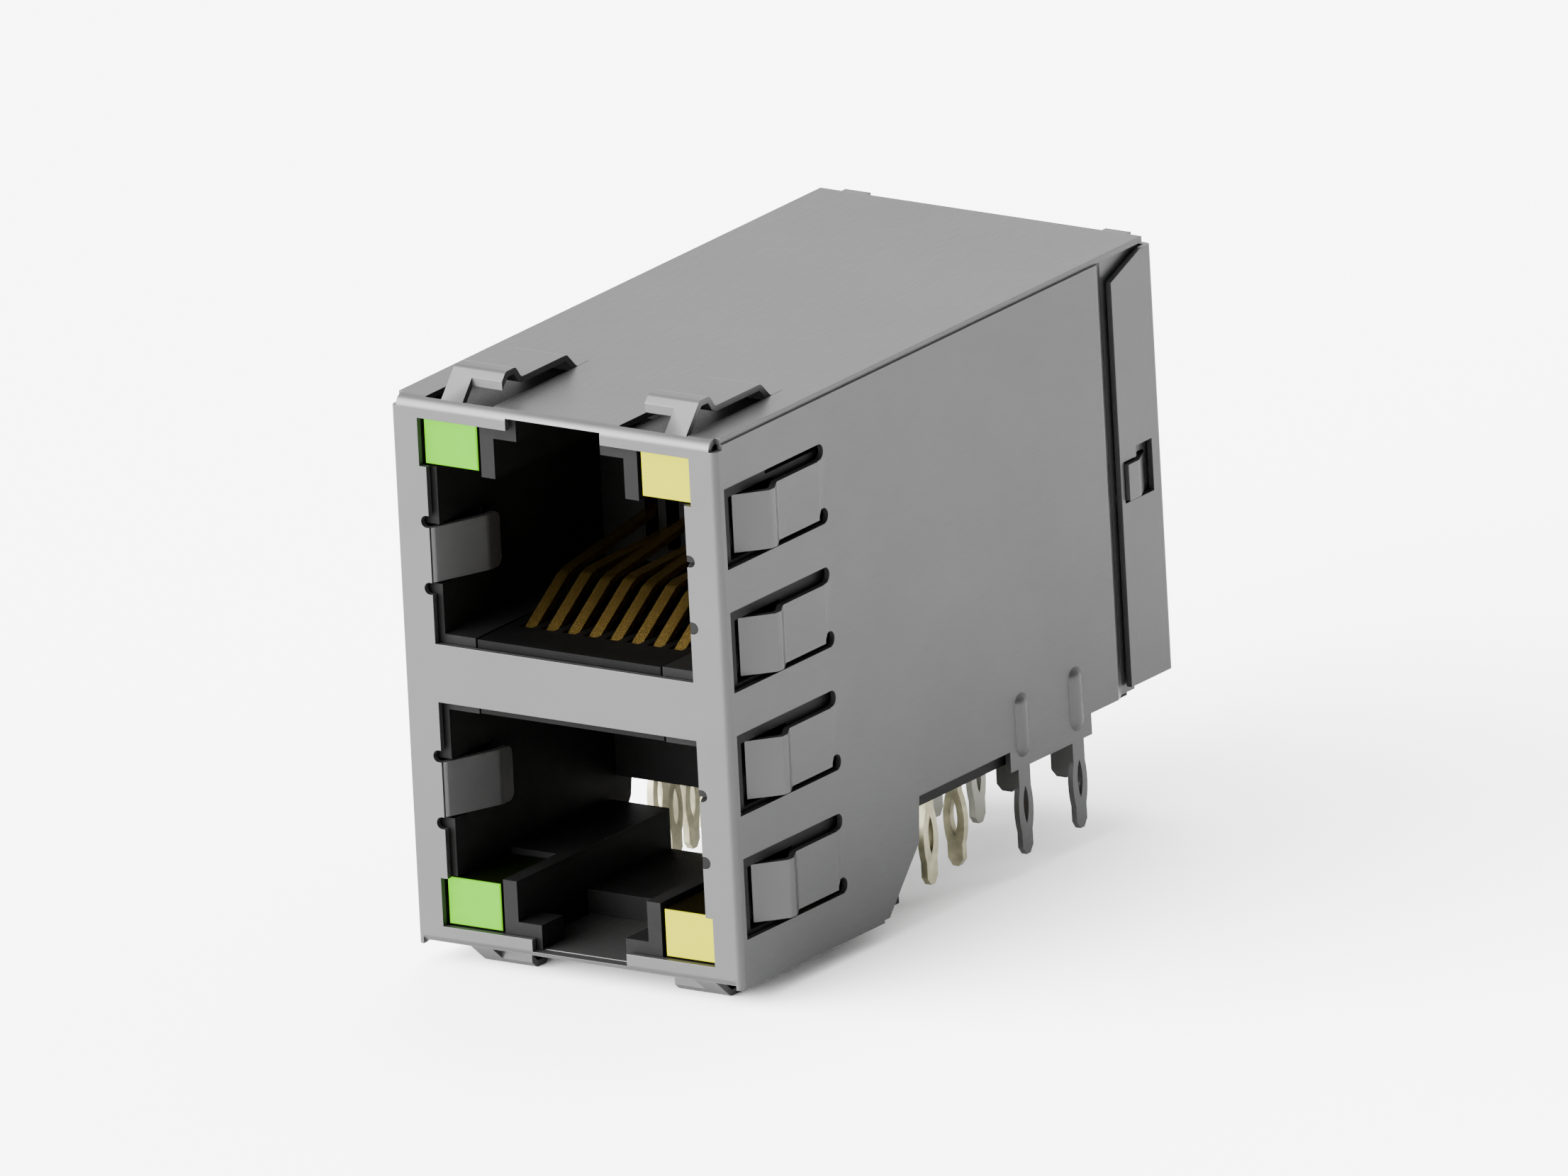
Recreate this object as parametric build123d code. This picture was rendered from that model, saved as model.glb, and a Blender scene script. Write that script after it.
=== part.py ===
from build123d import *
import os
from math import radians, sqrt, tan

# Stacked two-port shielded board jack, in millimetres.
# While it is drawn, X runs across, Y runs back from the front face, and Z runs up from the lower edge
# of the side panels. The last step moves the origin to the middle of the footprint, at the lowest point.

# Shield, one folded blank. Formed parts run into their sheet by overlap, and cuts run past its faces
sheet = 0.25
shell_width = 15.5
shell_height = 22.65
shell_depth = 30.2
top_width = 15.3
bend_radius = 0.3
top_bend_radius = 0.45
flap_underside = 0.1
flap_depth = 10.1
flap_width = 14.9
overlap = 0.3
past = 1.0

# Side panel outline
panel_step_y = 10.0
panel_step_rise = 0.12
slant_start_y = 10.36
slant_end_y = 12.63
slant_end_z = 2.59
panel_back_y = 12.8
panel_rear_z = 4.45
tab_front_y = 19.2
tab_back_y = 24.9
tab_z = 3.6
panel_end_y = shell_depth - 0.05

# Rear joggle of the side panels, and the cover that laps over it
cover_back_y = shell_depth + 0.5
cover_front_y = cover_back_y - 2.98
cover_slack = 0.05
joggle_y = cover_front_y - 0.87
joggle_run = 0.6
joggle_depth = sheet + cover_slack
cover_bottom_z = 4.74
panel_notch_y = cover_back_y - 2.3
panel_notch_z = cover_bottom_z + 0.2
cover_shoulder_z = 21.43
cover_slope_end_y = cover_back_y - 0.9
cover_top_z = 22.23
lug_x = 6.2
lug_width = 1.2
lug_rise = 0.335

# Barbs lanced from the side panels, which stand out through windows in the cover
barb_root_y = cover_back_y - 0.74
barb_bend_y = barb_root_y - 1.18
barb_tip_y = barb_root_y - 1.91
barb_bottom_z = 12.35
barb_height = 1.5
barb_proud = 0.17
barb_gap = 0.1
latch_window_front_y = barb_root_y - 1.12
latch_window_height = 2.15

# Port windows in the front face, mirrored about port_mid
port_mid = 11.33
bar_height = 2.4
window_width = 12.3
window_height = 9.3
lamp_window_width = 12.95
lamp_window_height = 2.0
notch_width = 4.5
notch_rise = 0.5
relief_radius = 0.25
leaf_middle = 4.84
leaf_height = 2.26
leaf_reach = 3.3
leaf_inset = 1.1
leaf_tip = 0.8
leaf_knee_radius = 0.6
leaf_corner = 0.35
leaf_room = 0.45

# Side spring fingers, four on each side
side_fingers = 4
side_finger_pitch = 5.085
side_slot_bottom = 17.25
side_slot_height = 3.32
side_slot_front = 0.5
side_slot_back = 7.45
side_finger_height = 2.4
side_finger_above = 0.25
side_finger_root = 7.0
side_relief = 0.33
side_rise = 0.04
side_rise_y = 7.0
side_flat_end_y = 4.1
side_crest_out = 0.42
side_crest_y = 3.4
side_crest_run = 0.35
side_tip_y = 1.85
side_tip_in = 0.6
side_relief_step = 0.12
finger_bend_radius = 0.28

# Top and bottom spring fingers
plate_finger_spacing = 9.24
plate_slot_width = 3.25
plate_slot_front = 0.32
plate_slot_back = 7.2
plate_slot_centre = 0.03
plate_finger_width = 2.44
plate_leg_width = 1.02
plate_finger_root = 6.9
plate_crest_y = 1.35
plate_crest_run = 0.7
plate_crest_fall = 0.35
plate_relief_radius = 0.24
plate_flat_end_y = 5.6
plate_leg_joint_y = 1.05
plate_leg_in = 0.05
top_finger_lift = 0.65
top_finger_crest = 1.15
flap_finger_lift = 0.4
flap_finger_crest = 0.87

# Press-fit tails
board_z = 2.62
tail_tip_z = 0.03
eye_top_z = 2.85
eye_bottom_z = 1.25
eye_slot_width = 0.36
eye_run_out = 0.28
eye_width = 1.0
tail_width = 0.72
neck_width = 0.55
tail_thickness = 0.3
tail_chamfer = 0.22

# Ground pins and stand-off wings of the shield
ground_pin_front_y = 20.11
ground_pin_pitch = 3.79
ground_shoulder_width = 0.8
ground_shoulder_drop = 0.65
wing_reach = 0.72
wing_ahead = 0.4
wing_step = 0.48
wing_corner = 0.25
bead_length = 2.64
bead_radius = 0.6
bead_proud = 0.2
bead_bottom_z = 4.02

# Housing
fit = 0.1
housing_front_y = 0.36
front_block_back_y = 12.7
heel_y = 11.54
heel_z = 1.4
housing_back_y = shell_depth - 0.6
foot_front_y = joggle_y + 0.05
foot_length = 1.45
foot_width = 1.3
foot_bottom_z = 4.15
chamber_front_y = 13.1
chamber_wall = 0.65
chamber_roof = 0.9
cavity_width = 11.8
cavity_height = 6.75
cavity_depth = 11.6
cavity_set_back = 0.355
latch_channel_width = 6.2
latch_channel_height = 1.67
latch_mouth_width = 4.0
latch_lip_depth = 1.5
latch_floor_y = 5.2
rear_window_front_y = 11.1

# Lamps
lamp_width = 2.5
lamp_height = 1.93
lamp_depth = 3.6
lamp_inner_x = 3.92
lamp_clearance = 0.17
lamp_edge = 0.05
lamp_side_gap = 0.08
lead_size = 0.36
lead_dive_y = 8.52
lead_dive_end_y = 12.0
lead_shoulder = 0.4
lead_start_x = 5.95
lead_x = 6.45
inner_lead_x = 6.05
lead_step = 1.2
lead_spread = 0.65
lead_bend = 0.5
second_lead_x = 4.9
lead_channel = 0.55

# Contacts and their carriers
contacts = 8
contact_pitch = 1.016
contact_width = 0.5
contact_thickness = 0.27
contact_rise_angle = 32.6
contact_run_above_bar = 0.63
contact_turn_y = 1.8
contact_nose_y = 2.53
contact_nose_step = 0.22
kink_y = 5.5
low_kink_step = 0.15
high_tip_rise = 3.24
low_tip_rise = 2.56
contact_tip_y = 12.0
knee_run = 0.2
carrier_width = 8.72
carrier_fit = 0.09
carrier_skin_top = 0.03
carrier_thickness = 1.13
comb_front_y = 2.55
comb_slot = 0.64
turn_room_y = 2.2
turn_room_height = 1.0
run_room = 0.25
drop_room = 0.35
row_pitch = 2.54
first_row_y = 15.1
row_wall = 0.9
carrier_lip = 0.45
comb_wall_y = 11.6
comb_wall_slot_low = 0.7
comb_wall_slot_high = 2.87

# Tail aligner
aligner_bottom_z = 3.87
aligner_top_z = 5.1
aligner_back_y = 24.6
tail_hole = 0.25

half_shell = shell_width / 2
inner_half = half_shell - sheet
housing_half = inner_half - fit
window_low = port_mid + bar_height / 2
window_top = window_low + window_height
cavity_floor = window_low + cavity_set_back
cavity_roof = cavity_floor + cavity_height
channel_roof = cavity_roof + latch_channel_height
roof_inside = shell_height - sheet
lamp_bottom = window_top - 0.04 - lamp_height
lamp_front = housing_front_y


def block(x0, x1, y0, y1, z0, z1):
    return Pos((x0 + x1) / 2, (y0 + y1) / 2, (z0 + z1) / 2) * Box(x1 - x0, y1 - y0, z1 - z0)


def flipped(shape):
    """The same shape turned upside down about the middle between the two ports."""
    return mirror(shape, about=Plane.XY.offset(port_mid))


def across(shape):
    """The same shape on the other side of the jack."""
    return mirror(shape, about=Plane.YZ)


def strip_face(points, radii, thickness, side):
    """A bent strip seen on edge: its outer line is the filleted path, its inner line one sheet inside."""
    path = Wire(FilletPolyline(*points, radius=radii).edges())
    return make_face(path.offset_2d(thickness, side=side))


def folded_strip(points, thickness):
    """A strip with sharp folds seen on edge, with the given path along its middle."""
    path = Wire(Polyline(*points).edges())
    left = make_face(path.offset_2d(thickness / 2, kind=Kind.INTERSECTION, side=Side.LEFT))
    return left + make_face(path.offset_2d(thickness / 2, kind=Kind.INTERSECTION, side=Side.RIGHT))


def side_view(face, x0, x1):
    """Extrudes a face that was drawn with Y to the right and Z up, from x0 to x1."""
    return extrude(Plane.YZ.offset(x0) * face, x1 - x0)


def plan_view(face, z0, z1):
    """Extrudes a face that was drawn with X to the right and Y up, from z0 to z1."""
    return extrude(Plane.XY.offset(z0) * face, z1 - z0)


def front_view(face, y0, y1):
    """Extrudes a face that was drawn with X to the right and Z up, from y0 to y1."""
    return extrude(Plane.XZ.offset(-y0) * face, y0 - y1)


def joined(parts):
    return parts[0].fuse(*parts[1:]) if len(parts) > 1 else parts[0]


def window_opening():
    """The upper port's opening in the front face, from in front of the sheet to behind it."""
    ahead = -past
    behind = 2 * sheet
    main = block(-window_width / 2, window_width / 2, ahead, behind, window_low, window_top)
    lamps = block(-lamp_window_width / 2, lamp_window_width / 2, ahead, behind,
                  window_top - lamp_window_height, window_top)
    notch = block(-notch_width / 2, notch_width / 2, ahead, behind, window_top - past,
                  window_top + notch_rise)
    opening = main + lamps + notch
    for sign in (-1, 1):
        for step in (-1, 1):
            z = port_mid + leaf_middle + step * (leaf_height / 2 + relief_radius)
            x = sign * (window_width / 2 + relief_radius / 2)
            hole = Circle(relief_radius) + Pos(-sign * relief_radius, 0) * Rectangle(
                2 * relief_radius, 2 * relief_radius)
            opening += front_view(Pos(x, z) * hole, ahead, behind)
    return opening


def plug_leaf():
    """Right leaf of the upper port: the window's edge folded back into the cavity, tip turned straight."""
    edge = window_width / 2
    knee_y = leaf_reach - leaf_tip
    tip_x = edge - leaf_inset
    outer = [(edge + 2 * overlap, 0), (edge, 0), (tip_x, knee_y), (tip_x, leaf_reach)]
    radii = [top_bend_radius, leaf_knee_radius]
    leaf = plan_view(strip_face(outer, radii, sheet, Side.RIGHT), -leaf_height, leaf_height)
    rounded = side_view(RectangleRounded(2 * leaf_reach, leaf_height, leaf_corner), 0, half_shell)
    return Pos(0, 0, port_mid + leaf_middle) * (leaf & rounded)


def side_slot():
    """Room round one side finger, at the height of the top finger."""
    return block(inner_half - past, half_shell + past, side_slot_front, side_finger_root, side_slot_bottom,
                 side_slot_bottom + side_slot_height)


def side_reliefs():
    """Round reliefs at the rear corners of the top side slot, where the finger leaves the panel."""
    high_z = side_slot_bottom + side_slot_height - side_relief
    low_z = side_slot_bottom + side_relief
    high = Pos(side_slot_back - side_relief, high_z) * Circle(side_relief)
    low = Pos(side_slot_back + side_relief_step - side_relief, low_z) * Circle(side_relief)
    high += Pos(side_finger_root, high_z) * Rectangle(side_relief, 2 * side_relief)
    low += Pos(side_finger_root, side_slot_bottom + side_finger_above / 2) * Rectangle(
        2 * side_relief, side_finger_above)
    return side_view(high + low, inner_half - past, half_shell + past)


def side_finger():
    """Finger in one side slot: a small set at its root, flat, out to a crest, then leaning in to its tip."""
    flat = half_shell + side_rise
    crest = half_shell + side_crest_out
    outer = [(flat, side_rise_y), (flat, side_flat_end_y), (crest, side_crest_y),
             (crest, side_crest_y - side_crest_run), (half_shell - side_tip_in, side_tip_y)]
    root_y = side_slot_back + overlap
    set_y = side_rise_y + 2 * side_rise
    root = [(half_shell, root_y), (half_shell, set_y), (flat, side_rise_y), (flat - sheet, side_rise_y),
            (inner_half, set_y), (inner_half, root_y)]
    face = strip_face(outer, [finger_bend_radius] * 3, sheet, Side.RIGHT)
    face += make_face(Polyline(*root, close=True))
    low = side_slot_bottom + side_finger_above
    return plan_view(face, low, low + side_finger_height)


def plate_finger(lift, crest, leg_outside):
    """Raised finger of the top plate, seen with the plate's face at zero and its slot's left edge at x = 0."""
    crest_end = plate_crest_y + plate_crest_run
    leg_slope = crest / (plate_crest_y - plate_slot_front)
    foot_y = plate_slot_front - plate_leg_in
    outer = [(foot_y, -plate_leg_in * leg_slope), (plate_crest_y, crest), (crest_end, crest),
             (crest_end + plate_crest_fall, lift), (plate_flat_end_y, lift),
             (plate_flat_end_y + lift, 0), (plate_slot_back + overlap, 0)]
    face = strip_face(outer, [finger_bend_radius] * 5, sheet, Side.RIGHT)
    left = plate_slot_width - plate_slot_centre - plate_finger_width
    right = left + plate_finger_width
    cut_left = left - past if leg_outside else left + plate_leg_width
    cut_right = right - plate_leg_width if leg_outside else right + past
    beside_leg = block(cut_left, cut_right, -past, plate_leg_joint_y, -past, crest + past)
    return side_view(face, left, right) - beside_leg


def plate_slot():
    """Slot round a top finger, with a rounded relief at each rear corner."""
    left = plate_slot_width - plate_slot_centre - plate_finger_width
    depth = plate_finger_root - plate_slot_front
    slot = Pos(plate_slot_width / 2, plate_slot_front + depth / 2) * Rectangle(plate_slot_width, depth)
    length = plate_slot_back - plate_finger_root + overlap
    for x0, x1 in ((0, left), (plate_slot_width - 2.1 * plate_relief_radius, plate_slot_width)):
        lobe = RectangleRounded(x1 - x0, length, plate_relief_radius)
        slot += Pos((x0 + x1) / 2, plate_slot_back - length / 2) * lobe
    return slot


def eye_profile(middle_y, shoulder_z):
    """Outline of one press-fit tail: neck, sprung eye with its slot, waist and chamfered tip."""
    middle = (eye_top_z + eye_bottom_z) / 2
    half_neck = neck_width / 2
    half_tail = tail_width / 2
    neck_end = (half_neck, eye_top_z + eye_run_out)
    waist = (half_tail, eye_bottom_z - eye_run_out)
    tip = (half_tail - tail_chamfer, tail_tip_z)
    half = Line((0, shoulder_z), (half_neck, shoulder_z)).edges()
    half += Line((half_neck, shoulder_z), neck_end).edges()
    half += ThreePointArc(neck_end, (eye_width / 2, middle), waist).edges()
    half += Polyline(waist, (half_tail, tail_tip_z + 1.4 * tail_chamfer), tip, (0, tail_tip_z)).edges()
    half += Line((0, tail_tip_z), (0, shoulder_z)).edges()
    face = make_face(half)
    slot_side = ThreePointArc((0, eye_top_z), (eye_slot_width / 2, middle), (0, eye_bottom_z))
    slot = make_face(slot_side.edges() + mirror(slot_side, about=Plane.YZ).edges())
    return Pos(middle_y, 0) * (face + mirror(face, about=Plane.YZ) - slot)


def side_outline():
    """Outline of the side panels, seen from the side."""
    points = [(0, 0), (panel_step_y, 0), (panel_step_y, panel_step_rise), (slant_start_y, panel_step_rise),
              (slant_end_y, slant_end_z), (panel_back_y, panel_rear_z), (tab_front_y, panel_rear_z),
              (tab_front_y, tab_z), (tab_back_y, tab_z), (tab_back_y, panel_rear_z),
              (panel_notch_y, panel_rear_z), (panel_notch_y, panel_notch_z), (panel_end_y, panel_notch_z),
              (panel_end_y, roof_inside), (0, roof_inside)]
    return make_face(Polyline(*points, close=True))


def outer_shield():
    """Front, sides, top and bottom flap, folded from one blank, with every finger, leaf and pin."""
    rear_x = half_shell - joggle_depth
    right = [(rear_x, panel_end_y + past), (rear_x, joggle_y + joggle_run), (half_shell, joggle_y),
             (half_shell, 0)]
    outer = right + [(-x, y) for x, y in reversed(right)]
    radii = [bend_radius] * 6
    wrap = plan_view(strip_face(outer, radii, sheet, Side.RIGHT), 0, roof_inside)
    wrap = wrap & side_view(side_outline(), -half_shell - past, half_shell + past)
    flat_half = flap_width / 2
    corner_y = bend_radius + sheet
    wrap -= block(-flat_half, flat_half, -past, corner_y, -past, flap_underside + bend_radius)
    wrap -= block(-half_shell - past, half_shell + past, -past, corner_y, shell_height - top_bend_radius,
                  shell_height)
    folded = [(flap_depth, flap_underside), (0, flap_underside), (0, shell_height),
              (shell_depth, shell_height)]
    cee_face = strip_face(folded, [bend_radius, top_bend_radius], sheet, Side.RIGHT)
    cee = side_view(cee_face, -flat_half, flat_half)
    top = block(-top_width / 2, top_width / 2, corner_y, shell_depth, roof_inside, shell_height)
    shield = wrap + cee + top

    opening = window_opening()
    shield -= opening
    shield -= flipped(opening)
    slots = []
    fingers = []
    reliefs = []
    for row in range(side_fingers):
        down = Pos(0, 0, -row * side_finger_pitch)
        slots += [down * side_slot(), across(down * side_slot())]
        reliefs += [down * side_reliefs(), across(down * side_reliefs())]
        fingers += [down * side_finger(), across(down * side_finger())]
    barb = latch_barb()
    lance = block(inner_half - past, half_shell, barb_tip_y - barb_gap, barb_root_y - barb_gap,
                  barb_bottom_z - barb_gap, barb_bottom_z + barb_height + barb_gap)
    slots += [lance, across(lance)]
    fingers += [barb, across(barb)]
    for cut in slots:
        shield -= cut

    slot_face = plate_slot()
    for side in (-1, 1):
        left = side * plate_finger_spacing / 2 - plate_slot_width / 2
        slot = Pos(left, 0) * slot_face
        shield -= plan_view(slot, roof_inside - overlap, shell_height + overlap)
        shield -= plan_view(slot, flap_underside - overlap, flap_underside + sheet + fit)
        outside = side > 0
        upper = plate_finger(top_finger_lift, top_finger_crest, outside)
        fingers.append(Pos(left, 0, shell_height) * upper)
        lower = mirror(plate_finger(flap_finger_lift, flap_finger_crest, outside), about=Plane.XY)
        fingers.append(Pos(left, 0, flap_underside) * lower)
    leaf = plug_leaf()
    for piece in (leaf, across(leaf)):
        fingers += [piece, flipped(piece)]
    shield = joined([shield] + fingers + ground_pins())
    for cut in reliefs:
        shield -= cut
    return shield


def latch_barb():
    """Right barb: lanced from the joggled panel, leaning out through the cover's window to a flat tip."""
    root_x = half_shell - joggle_depth
    tip_x = half_shell + cover_slack + barb_proud
    outer = [(root_x, barb_root_y + barb_gap), (root_x, barb_root_y - barb_gap), (tip_x, barb_bend_y),
             (tip_x, barb_tip_y)]
    face = strip_face(outer, [bend_radius, bend_radius], sheet, Side.RIGHT)
    return plan_view(face, barb_bottom_z, barb_bottom_z + barb_height)


def domed_rod():
    """Upright rod with round ends, which stands out of a side panel as a bead."""
    rim = sqrt(bead_proud * (2 * bead_radius - bead_proud))
    half_run = bead_length / 2 - rim
    ball = Sphere(bead_radius)
    return Cylinder(bead_radius, 2 * half_run) + Pos(0, 0, half_run) * ball + Pos(0, 0, -half_run) * ball


def ground_pins():
    """Four press-fit pins under the side tabs, each with a wing folded inward and a bead above it."""
    pieces = []
    for row in range(2):
        front = ground_pin_front_y + row * ground_pin_pitch
        shoulder = Pos(front, tab_z - ground_shoulder_drop / 2) * Rectangle(
            ground_shoulder_width, ground_shoulder_drop + overlap)
        pin = side_view(eye_profile(front, tab_z + fit) + shoulder, inner_half, half_shell)
        wing_low = board_z - row * wing_step
        wing_face = Pos(inner_half - wing_reach / 2, (wing_low + aligner_bottom_z) / 2) * Rectangle(
            wing_reach + sheet, aligner_bottom_z - wing_low)
        wing_face = chamfer(wing_face.vertices().group_by(Axis.Y)[0], wing_corner)
        wing = front_view(wing_face, front - wing_ahead, front - wing_ahead + sheet)
        bead_x = half_shell + bead_proud - bead_radius
        bead = Pos(bead_x, front, bead_bottom_z + bead_length / 2) * domed_rod()
        bead &= block(half_shell - sheet / 2, half_shell + past, front - past, front + past, 0, shell_height)
        for piece in (pin, wing, bead):
            pieces += [piece, across(piece)]
    return pieces


def rear_cover():
    """Cap folded round the back: flanges over the joggled side panels, barb windows and two top lugs."""
    outer_x = half_shell + cover_slack
    outer = [(outer_x, cover_front_y), (outer_x, cover_back_y), (-outer_x, cover_back_y),
             (-outer_x, cover_front_y)]
    cap = strip_face(outer, [bend_radius, bend_radius], sheet, Side.LEFT)
    cover = plan_view(cap, cover_bottom_z, cover_top_z)
    above = cover_top_z + past
    corner = make_face(Polyline(
        (cover_front_y, cover_shoulder_z), (cover_slope_end_y, cover_top_z), (cover_slope_end_y, above),
        (cover_front_y - past, above), (cover_front_y - past, cover_shoulder_z), close=True))
    cover -= side_view(corner, -outer_x - past, outer_x + past)
    for side in (-1, 1):
        x0 = side * lug_x - lug_width / 2
        cover += block(x0, x0 + lug_width, cover_back_y - sheet, cover_back_y, cover_top_z - overlap,
                       cover_top_z + lug_rise)
    window_low_z = barb_bottom_z - barb_gap
    window = block(outer_x - past, outer_x + past, latch_window_front_y, barb_root_y, window_low_z,
                   window_low_z + latch_window_height)
    window += block(outer_x - past, outer_x + past, barb_tip_y - barb_gap, barb_root_y, window_low_z,
                    barb_bottom_z + barb_height + barb_gap)
    return cover - window - across(window)


def port_cavity():
    """The upper port's plug room: cavity, latch channel behind a lip, and the lip's narrow mouth."""
    half = cavity_width / 2
    front = -past
    main = block(-half, half, front, cavity_depth, cavity_floor, cavity_roof)
    wide = latch_channel_width / 2
    channel = block(-wide, wide, front, cavity_depth, cavity_roof - overlap, channel_roof)
    lip_back = housing_front_y + latch_lip_depth
    well = block(-wide, wide, lip_back, latch_floor_y, cavity_roof, roof_inside + past)
    mouth = block(-latch_mouth_width / 2, latch_mouth_width / 2, front, latch_floor_y, cavity_roof,
                  roof_inside + past)
    return main + channel + well + mouth


def lamp_pocket():
    """Pocket for the upper right lamp, open to the front and down into the plug room."""
    inner = lamp_inner_x - lamp_clearance
    outer = lamp_inner_x + lamp_width + lamp_side_gap
    back = lamp_front + lamp_depth + lamp_clearance
    snug = block(inner, outer, -past, back, lamp_bottom - lamp_side_gap,
                 lamp_bottom + lamp_height + lamp_side_gap)
    throat = block(inner, cavity_width / 2, -past, back, cavity_roof - overlap,
                   lamp_bottom + lamp_height / 2)
    return snug + throat


def spring_pockets():
    """Room in the right wall for both plug leaves and for the four side fingers."""
    leaf_half = leaf_height / 2 + fit
    pockets = []
    for z in (port_mid + leaf_middle, port_mid - leaf_middle):
        pockets.append(block(cavity_width / 2 - past, window_width / 2 + leaf_room, -past, leaf_reach,
                             z - leaf_half, z + leaf_half))
    for row in range(side_fingers):
        low = side_slot_bottom + side_finger_above - row * side_finger_pitch
        pockets.append(block(half_shell - side_tip_in - 2 * sheet, half_shell, side_tip_y - 2 * overlap,
                             side_flat_end_y + overlap, low - fit, low + side_finger_height + fit))
    return joined(pockets)


def lead_runs(upper):
    """The two lead wires of a right lamp: height at the lamp, height over the rows, tail x and y."""
    middle = lamp_bottom + lamp_height / 2
    if upper:
        return [(middle + lead_spread / 2, None, inner_lead_x, first_row_y + row_pitch),
                (middle - lead_spread / 2, None, second_lead_x, first_row_y)]
    middle = 2 * port_mid - middle
    return [(middle + lead_spread / 2, aligner_top_z + 1.7, lead_x, first_row_y),
            (middle - lead_spread / 2, aligner_top_z + 0.9, second_lead_x, first_row_y - lead_step)]


def dive_points(start_z, over_z, end_y):
    """Side view of a lead that leaves its lamp's height for the height over the tail rows."""
    return [(lead_dive_y - past, start_z), (lead_dive_y, start_z), (lead_dive_end_y, over_z),
            (end_y, over_z)]


def lead_grooves(upper):
    """Grooves in the right wall for the lead wires of one right lamp, open towards the shield."""
    half = lead_channel / 2
    front = lamp_front + lamp_depth - fit
    chamber_y = chamber_front_y + overlap
    cuts = []
    for start_z, over_z, tail_x, tail_y in lead_runs(upper):
        back = chamber_y if over_z is None else lead_dive_y
        bend_end = front + 3 * lead_bend + half
        cuts.append(block(lead_start_x - half, half_shell, front, bend_end, start_z - half, start_z + half))
        cuts.append(block(lead_x - half, half_shell, front, back, start_z - half, start_z + half))
        if over_z is not None:
            band = folded_strip(dive_points(start_z, over_z, chamber_y), lead_channel)
            cuts.append(side_view(band, lead_x - half, half_shell))
    return joined(cuts)


def port_housing():
    """Black moulded body: two plug rooms, latch channels, pockets, comb walls and the rear chamber."""
    roof = roof_inside - fit
    foot = flap_underside + sheet
    points = [(housing_front_y, foot), (heel_y, foot), (heel_y, heel_z),
              (slant_end_y - fit, slant_end_z + 2 * fit),
              (front_block_back_y, aligner_bottom_z), (front_block_back_y, aligner_top_z),
              (housing_back_y, aligner_top_z), (housing_back_y, roof), (housing_front_y, roof)]
    body = side_view(make_face(Polyline(*points, close=True)), -housing_half, housing_half)
    rear_half = housing_half - joggle_depth
    behind = housing_back_y + past
    trim = block(rear_half, housing_half + past, joggle_y - overlap, behind, -past, roof + past)
    body = body - trim - across(trim)
    chamber_half = housing_half - chamber_wall
    body -= block(-chamber_half, chamber_half, chamber_front_y, behind, -past, roof - chamber_roof)
    foot_block = block(rear_half - foot_width, rear_half, foot_front_y, foot_front_y + foot_length,
                       foot_bottom_z, aligner_top_z + overlap)
    body = body + foot_block + across(foot_block)

    cavity = port_cavity()
    body = body - cavity - flipped(cavity)
    body -= block(-cavity_width / 2, cavity_width / 2, rear_window_front_y, front_block_back_y + past,
                  -past, aligner_bottom_z)
    pocket = lamp_pocket()
    for piece in (pocket, across(pocket)):
        body = body - piece - flipped(piece)
    springs = spring_pockets()
    body = body - springs - across(springs)

    for upper in (True, False):
        grooves = lead_grooves(upper)
        body = body - grooves - across(grooves)

    bed_half = carrier_width / 2 + carrier_fit
    bed_low = cavity_floor - carrier_skin_top - carrier_thickness - carrier_fit
    bed = block(-bed_half, bed_half, -past, chamber_front_y + fit, bed_low, cavity_floor + fit)
    body = body - bed - flipped(bed)
    for index in range(contacts):
        x = contact_x(index)
        half = comb_slot / 2
        slot = block(x - half, x + half, cavity_depth - fit, contact_tip_y + comb_slot,
                     cavity_floor + comb_wall_slot_low, cavity_floor + comb_wall_slot_high)
        body = body - slot - flipped(slot)
    return body


def contact_x(index):
    return (index - (contacts - 1) / 2) * contact_pitch


def contact_row(index, upper):
    """Distance back of one tail: the two ports each use two rows, taken in turn along the comb."""
    row = index % 2 + (2 if upper else 0)
    return first_row_y + row * row_pitch


def contact_line(index):
    """Centre line of the upper port's contact, from the run under the comb, round its nose, to the tip."""
    run_z = window_low - contact_run_above_bar
    rise = tan(radians(contact_rise_angle))
    high = index % 2 == 0
    knee_y = kink_y if high else kink_y + low_kink_step
    knee_z = run_z + (knee_y - contact_turn_y) * rise
    tip_z = run_z + (high_tip_rise if high else low_tip_rise)
    fall_in = (tip_z - knee_z) / (contact_tip_y - knee_y)
    return [(contact_nose_y + contact_nose_step, run_z), (contact_nose_y, run_z + contact_nose_step),
            (contact_nose_y, run_z + (contact_nose_y - contact_turn_y) * rise),
            (knee_y - knee_run, knee_z - knee_run * rise), (knee_y + knee_run, knee_z + knee_run * fall_in),
            (contact_tip_y, tip_z)]


def contact(index, upper):
    """One spring contact: free tip, knee, nose at the comb's front, run back, drop, press-fit tail."""
    points = contact_line(index)
    if not upper:
        points = [(y, 2 * port_mid - z) for y, z in points]
    tail_y = contact_row(index, upper)
    half = contact_thickness / 2
    run_z = points[0][1]
    shoulder_z = aligner_top_z - lead_shoulder
    x = contact_x(index)
    left = x - contact_width / 2
    right = x + contact_width / 2
    spring = side_view(folded_strip([(tail_y + half, run_z)] + points, contact_thickness), left, right)
    drop = block(left, right, tail_y - half, tail_y + half, shoulder_z, run_z)
    tail = side_view(eye_profile(tail_y, shoulder_z + fit), x - tail_thickness / 2, x + tail_thickness / 2)
    return spring + drop + tail


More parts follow.
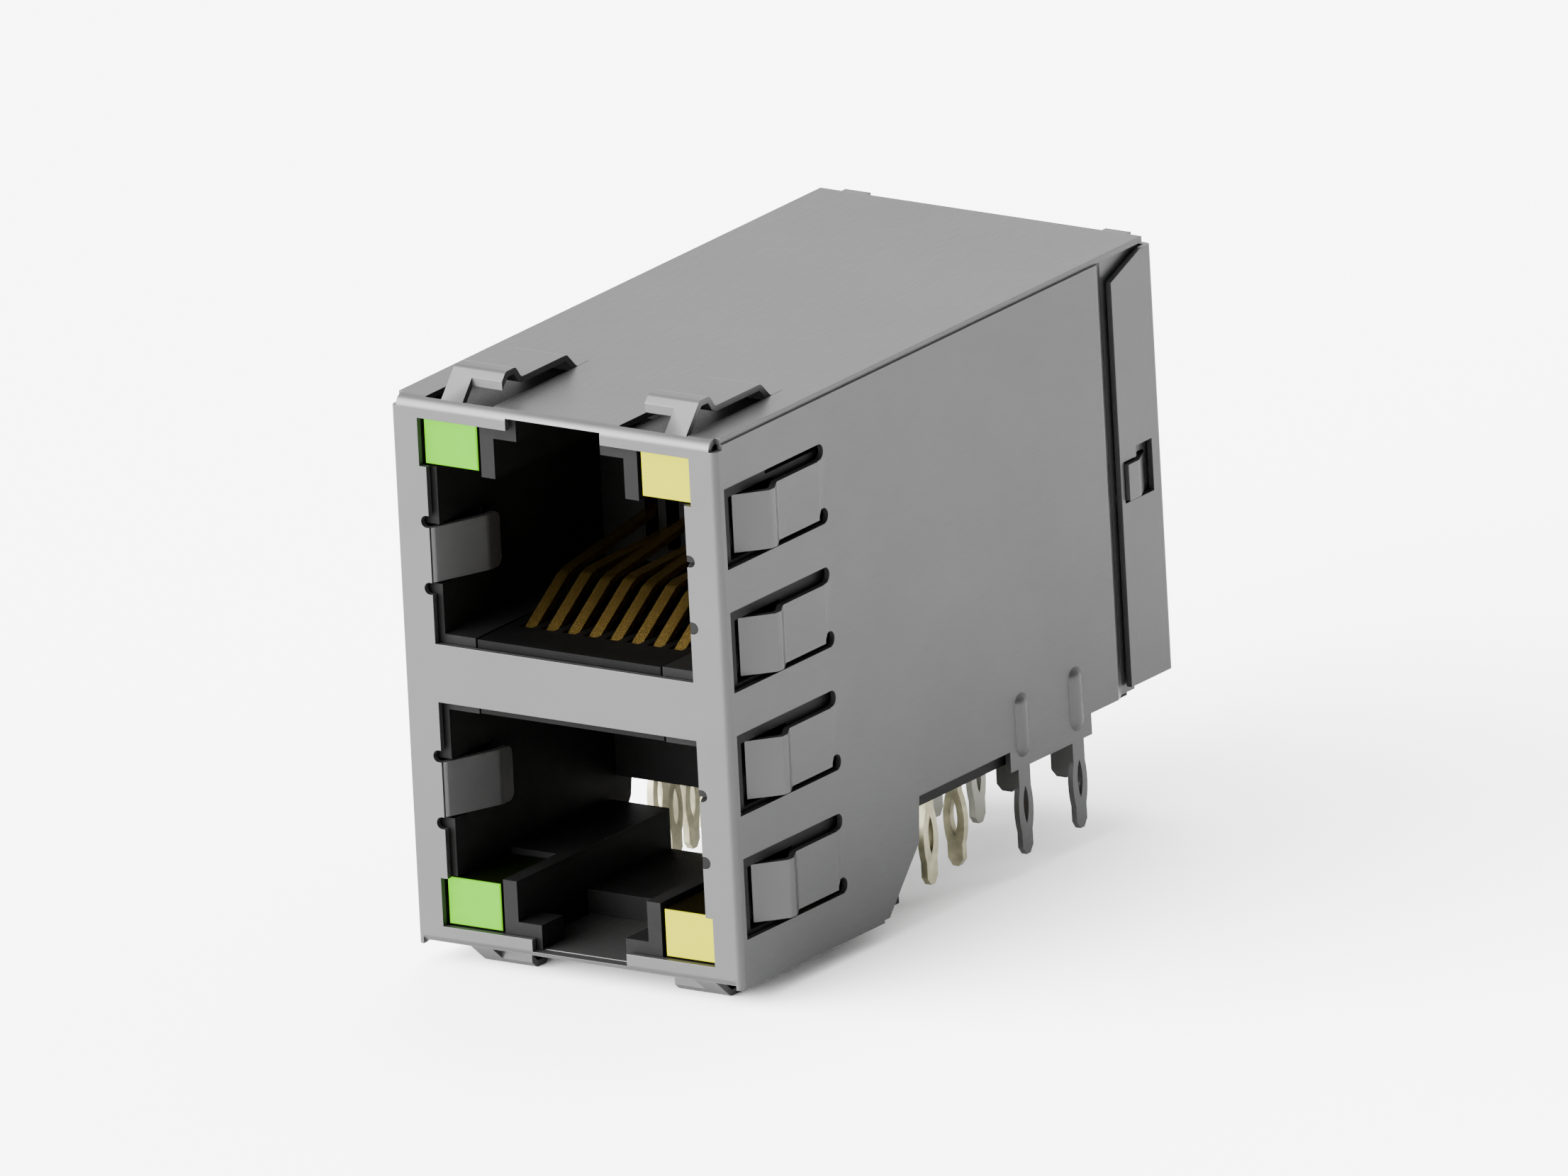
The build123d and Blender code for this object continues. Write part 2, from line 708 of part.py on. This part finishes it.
def contact_carrier(upper):
    """Black insert: a tongue with the comb under the springs, and an upright rear block for the drops."""
    top = cavity_floor - carrier_skin_top
    low = top - carrier_thickness
    run_z = window_low - contact_run_above_bar
    first_row = contact_row(0, upper)
    last_row = contact_row(1, upper)
    back = last_row + row_wall
    half = carrier_width / 2
    room = comb_slot / 2
    tongue = block(-half, half, housing_front_y, back, low, top)
    cuts = []
    for index in range(contacts):
        x = contact_x(index)
        cuts.append(block(x - room, x + room, comb_front_y, comb_wall_y + past, low - past, top + past))
        cuts.append(block(x - room, x + room, turn_room_y, comb_front_y + fit, low - past,
                          low + turn_room_height))
        cuts.append(block(x - room, x + room, comb_front_y, back + past, low - past, run_z + run_room))
    tongue -= joined(cuts)
    run_top = run_z + run_room
    block_top = top + carrier_lip
    if not upper:
        tongue = flipped(tongue)
        run_top = 2 * port_mid - run_z + run_room
        block_top = 2 * port_mid - low
    rear = block(-half, half, first_row - row_wall, back, aligner_top_z, block_top)
    drops = []
    for index in range(contacts):
        x = contact_x(index)
        y = contact_row(index, upper)
        drops.append(block(x - room, x + room, y - drop_room, y + drop_room, aligner_top_z - past, run_top))
        drops.append(block(x - room, x + room, comb_wall_y, y + drop_room, run_top - 2 * run_room, run_top))
    return tongue + rear - joined(drops)


def tail_aligner():
    """Black plate under the rear half that holds every tail in line, with two tails in open notches."""
    low = aligner_bottom_z - past
    high = aligner_top_z + past
    plate = block(-housing_half, housing_half, panel_back_y + fit / 2, aligner_back_y, aligner_bottom_z,
                  aligner_top_z)
    holes = []
    reach = neck_width / 2 + tail_hole / 2
    room = tail_thickness / 2 + tail_hole / 2
    for upper in (True, False):
        for index in range(contacts):
            y = contact_row(index, upper)
            x = contact_x(index)
            holes.append(block(x - room, x + room, y - reach, y + reach, low, high))
    for start_z, over_z, x, y in lead_runs(True) + lead_runs(False):
        front = y - reach if y >= first_row_y else panel_back_y - past
        hole = block(x - reach, x + reach, front, y + reach, low, high)
        holes += [hole, across(hole)]
    return plate - joined(holes)


def lamp():
    """Upper right lamp: a moulded block with softened front edges."""
    x0 = lamp_inner_x
    body = block(x0, x0 + lamp_width, lamp_front, lamp_front + lamp_depth, lamp_bottom,
                 lamp_bottom + lamp_height)
    front = body.faces().group_by(Axis.Y)[0][0]
    return chamfer(front.edges(), lamp_edge)


def lamp_leads(upper):
    """Two square lead wires of a right lamp, each flattened into a press-fit tail."""
    half = lead_size / 2
    blade_half = tail_thickness / 2
    start_y = lamp_front + lamp_depth
    wires = []
    for start_z, over_z, tail_x, tail_y in lead_runs(upper):
        level = start_z if over_z is None else over_z
        straight_end = tail_y + half if over_z is None else lead_dive_y
        way = [(lead_start_x, start_y), (lead_start_x, start_y + lead_bend),
               (lead_x, start_y + 3 * lead_bend), (lead_x, straight_end)]
        wire = plan_view(folded_strip(way, lead_size), start_z - half, start_z + half)
        if over_z is not None:
            dive = folded_strip(dive_points(start_z, over_z, tail_y + half), lead_size)
            wire += side_view(dive, lead_x - half, lead_x + half)
        front = tail_y - half
        back = tail_y + half
        shoulder_z = aligner_top_z - lead_shoulder
        wire += block(tail_x - half, lead_x + half, front, back, level - half, level + half)
        wire += block(tail_x - half, tail_x + half, front, back, shoulder_z, level)
        blade = eye_profile(0, shoulder_z + fit)
        if tail_x == inner_lead_x:
            tail = front_view(Pos(tail_x, 0) * blade, tail_y - blade_half, tail_y + blade_half)
        else:
            tail = side_view(Pos(tail_y, 0) * blade, tail_x - blade_half, tail_x + blade_half)
        wires.append(wire + tail)
    return wires


nodes = {
    "outer_shield": [outer_shield()],
    "rear_cover": [rear_cover()],
    "port_housing": [port_housing()],
    "tail_aligner": [tail_aligner()],
    "upper_contact_carrier": [contact_carrier(True)],
    "lower_contact_carrier": [contact_carrier(False)],
}
for number in range(contacts):
    nodes["upper_contact_%d" % (number + 1)] = [contact(number, True)]
    nodes["lower_contact_%d" % (number + 1)] = [contact(number, False)]
right_lamp = lamp()
nodes["upper_yellow_lamp"] = [right_lamp]
nodes["upper_green_lamp"] = [across(right_lamp)]
nodes["lower_yellow_lamp"] = [flipped(right_lamp)]
nodes["lower_green_lamp"] = [flipped(across(right_lamp))]
nodes["upper_yellow_leads"] = lamp_leads(True)
nodes["upper_green_leads"] = [across(wire) for wire in lamp_leads(True)]
nodes["lower_yellow_leads"] = lamp_leads(False)
nodes["lower_green_leads"] = [across(wire) for wire in lamp_leads(False)]

lowest = flap_underside - flap_finger_crest
to_origin = Pos(0, -cover_back_y / 2, -lowest)
os.makedirs("parts", exist_ok=True)
for name, solids in nodes.items():
    placed = [to_origin * solid for solid in solids]
    shape = placed[0] if len(placed) == 1 else Compound(children=placed)
    export_step(shape, "parts/%s.step" % name)
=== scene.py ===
import bpy
from math import radians
from mathutils import Matrix, Vector


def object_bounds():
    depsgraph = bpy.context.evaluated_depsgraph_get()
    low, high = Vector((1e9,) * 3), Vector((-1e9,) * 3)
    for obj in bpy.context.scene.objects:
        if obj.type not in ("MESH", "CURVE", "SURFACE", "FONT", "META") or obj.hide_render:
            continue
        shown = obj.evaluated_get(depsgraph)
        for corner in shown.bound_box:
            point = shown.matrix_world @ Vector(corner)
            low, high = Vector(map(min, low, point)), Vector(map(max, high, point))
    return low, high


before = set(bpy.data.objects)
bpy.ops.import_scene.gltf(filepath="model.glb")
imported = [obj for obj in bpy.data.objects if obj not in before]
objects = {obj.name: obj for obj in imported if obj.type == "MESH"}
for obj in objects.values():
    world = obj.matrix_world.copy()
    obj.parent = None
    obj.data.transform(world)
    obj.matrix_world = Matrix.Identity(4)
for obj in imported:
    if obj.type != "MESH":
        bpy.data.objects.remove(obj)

cad_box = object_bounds()

# The jack stands on a table laid with heavy white paper. The view is parallel, from the front right and a
# little above, with the jack's own verticals leaning slightly, as it was pictured.

mm = 0.001
view_right = Vector((0.82667, 0.56045, -0.05022))
view_up = Vector((-0.12490, 0.26979, 0.95478))
view_back = Vector((0.54865, -0.78302, 0.29303))
view_middle = Vector((4.728, -6.759, 14.609)) * mm
view_width = 61.79 * mm
view_distance = 250 * mm

camera_data = bpy.data.cameras.new("parallel_view")
camera_data.type = "ORTHO"
camera_data.ortho_scale = view_width
camera_data.clip_start = 1 * mm
camera_data.clip_end = 10000 * mm
camera = bpy.data.objects.new("parallel_view", camera_data)
camera.matrix_world = Matrix.Translation(view_middle + view_back * view_distance) @ Matrix(
    (view_right, view_up, view_back)).transposed().to_4x4()
bpy.context.collection.objects.link(camera)
bpy.context.scene.camera = camera


def linear(hex_colour):
    """An sRGB hex colour as the linear numbers that a shader takes."""
    channels = [int(hex_colour[i:i + 2], 16) / 255 for i in (1, 3, 5)]
    return tuple(c / 12.92 if c <= 0.04045 else ((c + 0.055) / 1.055) ** 2.4 for c in channels) + (1.0,)


def add_node(tree, kind, settings=None, inputs=None, links=None, stops=()):
    """Adds one node: settings are its properties, inputs its socket values, links the sockets that feed it,
    and stops the places and colours of a ramp."""
    node = tree.nodes.new(kind)
    for name, value in (settings or {}).items():
        setattr(node, name, value)
    for name, value in (inputs or {}).items():
        node.inputs[name].default_value = value
    for name, source in (links or {}).items():
        tree.links.new(source, node.inputs[name])
    for i, (place, hex_colour) in enumerate(stops):
        node.color_ramp.elements[i].position = place
        node.color_ramp.elements[i].color = linear(hex_colour)
    return node


def new_material(name):
    """An empty material and its node tree."""
    material = bpy.data.materials.new(name)
    material.use_nodes = True
    material.node_tree.nodes.clear()
    return material, material.node_tree


# Uncoated paper: an even matt white that mirrors nothing and takes soft shadows.
table_paper, paper_tree = new_material("matt_white_paper")
paper = add_node(paper_tree, "ShaderNodeBsdfPrincipled",
                 inputs={"Base Color": linear("#f4f4f4"), "Roughness": 0.6, "Specular IOR Level": 0.2})
add_node(paper_tree, "ShaderNodeOutputMaterial", links={"Surface": paper.outputs[0]})

table_half = 600 * mm
table_clearance = 0.02 * mm
table_data = bpy.data.meshes.new("table")
table_data.from_pydata([(x * table_half, y * table_half, 0) for x, y in ((-1, -1), (1, -1), (1, 1), (-1, 1))],
                       [], [(0, 1, 2, 3)])
table_data.materials.append(table_paper)
table = bpy.data.objects.new("table", table_data)
table.location = (0, 0, cad_box[0][2] - table_clearance)
bpy.context.collection.objects.link(table)

# The room round the table is a pale tent. It glows softly behind and to the left, is strongest low down at
# the front left where a window stands, and is dark on the right, so the sheet has a bright front and a greyer
# side. One soft lamp hangs behind on the left.

tent_glow = 4.6
tent_towards = Vector((-0.75, 0.4, 0.5)).normalized()
dark_side_glow = 0.2
window_glow = 46.0
window_towards = Vector((-0.6, -0.78, 0.05)).normalized()
lamp_place = Vector((-50, 150, 300)) * mm
lamp_width = 140 * mm
lamp_watts = 1.3

world = bpy.data.worlds.new("studio_tent")
bpy.context.scene.world = world
world.use_nodes = True
room = world.node_tree
room.nodes.clear()
sight = add_node(room, "ShaderNodeTexCoord")
tent_facing = add_node(room, "ShaderNodeVectorMath", settings={"operation": "DOT_PRODUCT"},
                       inputs={1: tent_towards}, links={0: sight.outputs["Generated"]})
tent = add_node(room, "ShaderNodeMapRange",
                inputs={"From Min": -0.6, "From Max": 0.7, "To Min": dark_side_glow, "To Max": tent_glow},
                links={"Value": tent_facing.outputs["Value"]})
window_facing = add_node(room, "ShaderNodeVectorMath", settings={"operation": "DOT_PRODUCT"},
                         inputs={1: window_towards}, links={0: sight.outputs["Generated"]})
window = add_node(room, "ShaderNodeMapRange", settings={"interpolation_type": "SMOOTHSTEP"},
                  inputs={"From Min": 0.45, "From Max": 0.98, "To Min": 0.0, "To Max": window_glow},
                  links={"Value": window_facing.outputs["Value"]})
glow = add_node(room, "ShaderNodeMath", settings={"operation": "ADD"},
                links={0: tent.outputs[0], 1: window.outputs[0]})
air = add_node(room, "ShaderNodeBackground", inputs={"Color": (1, 1, 1, 1)},
               links={"Strength": glow.outputs[0]})
add_node(room, "ShaderNodeOutputWorld", links={"Surface": air.outputs[0]})

lamp_data = bpy.data.lights.new("overhead_softbox", "AREA")
lamp_data.size = lamp_width
lamp_data.energy = lamp_watts
lamp = bpy.data.objects.new("overhead_softbox", lamp_data)
lamp.location = lamp_place
lamp.rotation_euler = (-lamp_place).to_track_quat("-Z", "Y").to_euler()
bpy.context.collection.objects.link(lamp)

# The shield is one blank of copper alloy strip, blanked and folded, then plated with nickel. Each fold is a
# smooth roll, while the blanked edges stay crisp, broken only by the plate that builds up on them.

join_within = 0.0005 * mm
roll_up_to = radians(28)
nickel_colour = "#3a3a3a"
nickel_shade = "#363636"
nickel_glancing = "#c6c6c6"
nickel_cloud = 5.0 * mm
rolling_grain = 0.06 * mm
grain_relief = 0.01 * mm
cut_edge = 0.025 * mm

folds = bpy.data.node_groups.new("soft_folds", "GeometryNodeTree")
folds.interface.new_socket("Geometry", in_out="INPUT", socket_type="NodeSocketGeometry")
join_socket = folds.interface.new_socket("Join Within", in_out="INPUT", socket_type="NodeSocketFloat")
roll_socket = folds.interface.new_socket("Roll Up To", in_out="INPUT", socket_type="NodeSocketFloat")
folds.interface.new_socket("Geometry", in_out="OUTPUT", socket_type="NodeSocketGeometry")
formed = add_node(folds, "NodeGroupInput")
joined = add_node(folds, "GeometryNodeMergeByDistance",
                  links={"Geometry": formed.outputs["Geometry"], "Distance": formed.outputs["Join Within"]})
rolled = add_node(folds, "GeometryNodeSetShadeSmooth", links={"Geometry": joined.outputs["Geometry"]})
fold_angle = add_node(folds, "GeometryNodeInputMeshEdgeAngle")
cut = add_node(folds, "FunctionNodeCompare", settings={"operation": "GREATER_THAN"},
               links={0: fold_angle.outputs["Unsigned Angle"], 1: formed.outputs["Roll Up To"]})
crisp = add_node(folds, "GeometryNodeSetShadeSmooth", settings={"domain": "EDGE"},
                 inputs={"Shade Smooth": False},
                 links={"Geometry": rolled.outputs["Geometry"], "Selection": cut.outputs[0]})
add_node(folds, "NodeGroupOutput", links={0: crisp.outputs["Geometry"]})


def soft_folds(node):
    """Joins a formed CAD node's facets and shades each bend as one smooth roll, with cut edges left crisp."""
    rolls = objects[node].modifiers.new("soft_folds", "NODES")
    rolls.node_group = folds
    rolls[join_socket.identifier] = join_within
    rolls[roll_socket.identifier] = roll_up_to
    objects[node].modifiers.new("flat_faces", "WEIGHTED_NORMAL").keep_sharp = True


def dress(node, material):
    """Gives a CAD node its finished material in place of the plain one."""
    slots = objects[node].data.materials
    for i in range(len(slots)):
        slots[i] = material


def nickel_plate(name, grain_turn):
    """Satin nickel over rolled strip: a soft blurred mirror that darkens a little at a glancing view, with a
    fine grain along the strip. grain_turn says which way the strip ran before folding. Real grain is about
    0.01 mm wide, and is drawn coarser so that it shows."""
    material, tree = new_material(name)
    place = add_node(tree, "ShaderNodeTexCoord")
    turned = add_node(tree, "ShaderNodeMapping", inputs={"Rotation": grain_turn},
                      links={"Vector": place.outputs["Object"]})
    stretched = add_node(tree, "ShaderNodeMapping", inputs={"Scale": (0.06, 1, 1)},
                         links={"Vector": turned.outputs[0]})
    grain = add_node(tree, "ShaderNodeTexNoise",
                     inputs={"Scale": 1 / rolling_grain, "Detail": 4.0, "Roughness": 0.6},
                     links={"Vector": stretched.outputs[0]})
    cloud = add_node(tree, "ShaderNodeTexNoise", inputs={"Scale": 1 / nickel_cloud, "Detail": 2.0},
                     links={"Vector": place.outputs["Object"]})
    tone = add_node(tree, "ShaderNodeValToRGB", links={"Fac": cloud.outputs["Fac"]},
                    stops=((0.2, nickel_shade), (0.8, nickel_colour)))
    gloss = add_node(tree, "ShaderNodeMapRange",
                     inputs={"From Min": 0.3, "From Max": 0.7, "To Min": 0.36, "To Max": 0.44},
                     links={"Value": grain.outputs["Fac"]})
    broken_edge = add_node(tree, "ShaderNodeBevel", settings={"samples": 6}, inputs={"Radius": cut_edge})
    relief = add_node(tree, "ShaderNodeBump", inputs={"Strength": 0.03, "Distance": grain_relief},
                      links={"Height": grain.outputs["Fac"], "Normal": broken_edge.outputs[0]})
    plate = add_node(tree, "ShaderNodeBsdfPrincipled",
                     inputs={"Metallic": 0.8, "Specular IOR Level": 0.5,
                             "Specular Tint": linear(nickel_glancing)},
                     links={"Base Color": tone.outputs["Color"], "Roughness": gloss.outputs[0],
                            "Normal": relief.outputs["Normal"]})
    add_node(tree, "ShaderNodeOutputMaterial", links={"Surface": plate.outputs[0]})
    return material


soft_folds("outer_shield")
dress("outer_shield", nickel_plate("nickel_plated_strip_shield", (0, 0, radians(90))))

# The rear cover is a second, smaller blank of the same strip, folded to a cap that slides over the back edges
# of the shield. A barb lanced from each side of the shield stands in a window of its flange and holds it.

soft_folds("rear_cover")
dress("rear_cover", nickel_plate("nickel_plated_strip_cover", (0, radians(90), 0)))

# The housing is injection moulded in black glass-filled polyester, in one piece with its lamp pockets and
# latch channels. The shield is folded round it.

spark_pits = 0.05 * mm
pit_relief = 0.01 * mm
flow_cloud = 2.5 * mm


def moulded_black(name, light, dark, roughness, mirror):
    """Black filled resin from a spark-eroded tool: a deep, even, fine-pitted matt, with faint grey clouds
    where the glass comes to the surface. Real pits are about 0.02 mm wide, and are drawn coarser so that they
    show."""
    material, tree = new_material(name)
    place = add_node(tree, "ShaderNodeTexCoord")
    pits = add_node(tree, "ShaderNodeTexNoise",
                    inputs={"Scale": 1 / spark_pits, "Detail": 3.0, "Roughness": 0.55},
                    links={"Vector": place.outputs["Object"]})
    flow = add_node(tree, "ShaderNodeTexNoise",
                    inputs={"Scale": 1 / flow_cloud, "Detail": 5.0, "Distortion": 0.8},
                    links={"Vector": place.outputs["Object"]})
    tone = add_node(tree, "ShaderNodeValToRGB", links={"Fac": flow.outputs["Fac"]},
                    stops=((0.3, dark), (0.7, light)))
    gloss = add_node(tree, "ShaderNodeMapRange",
                     inputs={"From Min": 0.3, "From Max": 0.7,
                             "To Min": roughness - 0.06, "To Max": roughness + 0.06},
                     links={"Value": pits.outputs["Fac"]})
    relief = add_node(tree, "ShaderNodeBump", inputs={"Strength": 0.15, "Distance": pit_relief},
                      links={"Height": pits.outputs["Fac"]})
    resin = add_node(tree, "ShaderNodeBsdfPrincipled", inputs={"IOR": 1.55, "Specular IOR Level": mirror},
                     links={"Base Color": tone.outputs["Color"], "Roughness": gloss.outputs[0],
                            "Normal": relief.outputs["Normal"]})
    add_node(tree, "ShaderNodeOutputMaterial", links={"Surface": resin.outputs[0]})
    return material


dress("port_housing", moulded_black("glass_filled_polyester_housing", "#0a0a0a", "#060606", 0.5, 0.04))

# Each port's springs lie in a comb of black liquid-crystal polymer, pressed into the housing from behind. It
# flows thinner than the housing's resin and comes out of the tool a little glossier and blacker.

for carrier in ("upper_contact_carrier", "lower_contact_carrier"):
    dress(carrier, moulded_black("liquid_crystal_polymer_" + carrier, "#050505", "#030303", 0.4, 0.03))

# The tail aligner is a flat moulded plate, snapped on under the rear half, that holds every tail to its hole
# in the board. It is the same resin as the housing, from a plainer tool.

dress("tail_aligner", moulded_black("glass_filled_polyester_aligner", "#060606", "#040404", 0.5, 0.04))

# The sixteen springs are blanked and formed from phosphor bronze strip and pressed into their combs. Their
# free ends are plated with hard gold; from the housing down, the press-fit tails carry matt tin.

front_to_middle = 15.35 * mm
gold_colour = "#ab8e4c"
gold_shade = "#8b733a"
tin_colour = "#74746c"
tin_from = 12.5 * mm - front_to_middle
plating_edge = 0.6 * mm
drawn_grain = 0.12 * mm
drawn_relief = 0.01 * mm


def spring_plating(name):
    """Hard gold in the port, warm and fairly bright, and grey matt tin on the tail, with the edge between
    them inside the housing. Faint mottling from forming breaks up the shine of both."""
    material, tree = new_material(name)
    place = add_node(tree, "ShaderNodeTexCoord")
    axes = add_node(tree, "ShaderNodeSeparateXYZ", links={"Vector": place.outputs["Object"]})
    on_tail = add_node(tree, "ShaderNodeMapRange",
                       inputs={"From Min": tin_from, "From Max": tin_from + plating_edge,
                               "To Min": 0.0, "To Max": 1.0},
                       links={"Value": axes.outputs["Y"]})
    drawn = add_node(tree, "ShaderNodeTexNoise",
                     inputs={"Scale": 1 / drawn_grain, "Detail": 3.0, "Roughness": 0.5},
                     links={"Vector": place.outputs["Object"]})
    gold = add_node(tree, "ShaderNodeValToRGB", links={"Fac": drawn.outputs["Fac"]},
                    stops=((0.3, gold_shade), (0.7, gold_colour)))
    colour = add_node(tree, "ShaderNodeMix", settings={"data_type": "RGBA"}, inputs={7: linear(tin_colour)},
                      links={0: on_tail.outputs[0], 6: gold.outputs["Color"]})
    gloss = add_node(tree, "ShaderNodeMapRange",
                     inputs={"From Min": 0.0, "From Max": 1.0, "To Min": 0.26, "To Max": 0.5},
                     links={"Value": on_tail.outputs[0]})
    relief = add_node(tree, "ShaderNodeBump", inputs={"Strength": 0.1, "Distance": drawn_relief},
                      links={"Height": drawn.outputs["Fac"]})
    metal = add_node(tree, "ShaderNodeBsdfPrincipled", inputs={"Metallic": 1.0},
                     links={"Base Color": colour.outputs[2], "Roughness": gloss.outputs[0],
                            "Normal": relief.outputs["Normal"]})
    add_node(tree, "ShaderNodeOutputMaterial", links={"Surface": metal.outputs[0]})
    return material


springs = spring_plating("gold_and_tin_plated_bronze")
for port in ("upper", "lower"):
    for number in range(1, 9):
        soft_folds("%s_contact_%d" % (port, number))
        dress("%s_contact_%d" % (port, number), springs)

# Four lamps sit in the outer corners of the ports: small light-emitting diodes cast in tinted clear epoxy.
# Each stands just behind the shield's windows, in a pocket of the housing. Their front faces carry a painted
# glow, and their bodies behind are painted nearly black as shade in the pockets.

# lit_from and lit_to bound where the painted glow on a lamp's front face gives way to the painted shade on
# its body.
lamp_front = 0.36 * mm - front_to_middle
lit_from = 0.02 * mm
lit_to = 0.10 * mm
epoxy_haze = 0.6 * mm


def tinted_epoxy(name, glow_colour, glow_shade, body, body_painted_shade, painted_glow_strength):
    """Tinted epoxy with a painted glow on its front face: an even bright emitted colour in front, which falls
    off quickly into a body painted dark, nearly black, as the shade of its pocket."""
    material, tree = new_material(name)
    place = add_node(tree, "ShaderNodeTexCoord")
    axes = add_node(tree, "ShaderNodeSeparateXYZ", links={"Vector": place.outputs["Object"]})
    glow_to_painted_shade = add_node(tree, "ShaderNodeMapRange",
                     inputs={"From Min": lamp_front + lit_from, "From Max": lamp_front + lit_to,
                             "To Min": 0.0, "To Max": 1.0},
                     links={"Value": axes.outputs["Y"]})
    haze = add_node(tree, "ShaderNodeTexNoise", inputs={"Scale": 1 / epoxy_haze, "Detail": 4.0},
                    links={"Vector": place.outputs["Object"]})
    lit = add_node(tree, "ShaderNodeValToRGB", links={"Fac": haze.outputs["Fac"]},
                   stops=((0.3, glow_shade), (0.7, glow_colour)))
    colour = add_node(tree, "ShaderNodeMix", settings={"data_type": "RGBA"},
                      # Painted shade: behind its front face the lamp's body turns nearly black, as the shade
                      # of its pocket.
                      inputs={6: linear(body), 7: linear(body_painted_shade)}, links={0: glow_to_painted_shade.outputs[0]})
    # Painted glow: the front face emits its colour, and the glow falls to none just behind it.
    shine = add_node(tree, "ShaderNodeMapRange",
                     inputs={"From Min": 0.0, "From Max": 1.0, "To Min": painted_glow_strength, "To Max": 0.0},
                     links={"Value": glow_to_painted_shade.outputs[0]})
    epoxy = add_node(tree, "ShaderNodeBsdfPrincipled",
                     inputs={"Roughness": 0.45, "IOR": 1.54, "Specular IOR Level": 0.03},
                     links={"Base Color": colour.outputs[2], "Emission Color": lit.outputs["Color"],
                            "Emission Strength": shine.outputs[0]})
    add_node(tree, "ShaderNodeOutputMaterial", links={"Surface": epoxy.outputs[0]})
    return material


# Each lamp: glow colours, then its body colour and the nearly black painted shade behind the front, then the
# painted glow's strength.
green_epoxy = tinted_epoxy("green_epoxy_painted_glow", "#7cf000", "#74e400", "#143200", "#020400", 1.5)
yellow_epoxy = tinted_epoxy("yellow_epoxy_painted_glow", "#fbff00", "#f4f600", "#3a3600", "#040300", 1.5)
for port in ("upper", "lower"):
    dress(port + "_green_lamp", green_epoxy)
    dress(port + "_yellow_lamp", yellow_epoxy)

# Two square wires leave the back of each lamp, run along the housing, and end in press-fit tails that are
# stamped flat with an eye. They are steel, dipped in tin.

wire_colour = "#949078"
wire_shade = "#77745f"
tin_crystals = 0.08 * mm
tin_cloud = 0.5 * mm
crystal_relief = 0.01 * mm


def matt_tin(name):
    """Matt tin plate: a slightly warm, soft grey, mottled by its fine crystals. Real crystals are about
    0.01 mm wide, and are drawn coarser so that they show."""
    material, tree = new_material(name)
    place = add_node(tree, "ShaderNodeTexCoord")
    crystals = add_node(tree, "ShaderNodeTexVoronoi", inputs={"Scale": 1 / tin_crystals, "Randomness": 1.0},
                        links={"Vector": place.outputs["Object"]})
    cloud = add_node(tree, "ShaderNodeTexNoise", inputs={"Scale": 1 / tin_cloud, "Detail": 4.0},
                     links={"Vector": place.outputs["Object"]})
    tone = add_node(tree, "ShaderNodeValToRGB", links={"Fac": cloud.outputs["Fac"]},
                    stops=((0.3, wire_shade), (0.7, wire_colour)))
    relief = add_node(tree, "ShaderNodeBump", inputs={"Strength": 0.2, "Distance": crystal_relief},
                      links={"Height": crystals.outputs["Distance"]})
    metal = add_node(tree, "ShaderNodeBsdfPrincipled", inputs={"Metallic": 1.0, "Roughness": 0.48},
                     links={"Base Color": tone.outputs["Color"], "Normal": relief.outputs["Normal"]})
    add_node(tree, "ShaderNodeOutputMaterial", links={"Surface": metal.outputs[0]})
    return material


tin = matt_tin("matt_tin_plate")
for port in ("upper", "lower"):
    for lamp_colour in ("green", "yellow"):
        soft_folds("%s_%s_leads" % (port, lamp_colour))
        dress("%s_%s_leads" % (port, lamp_colour), tin)
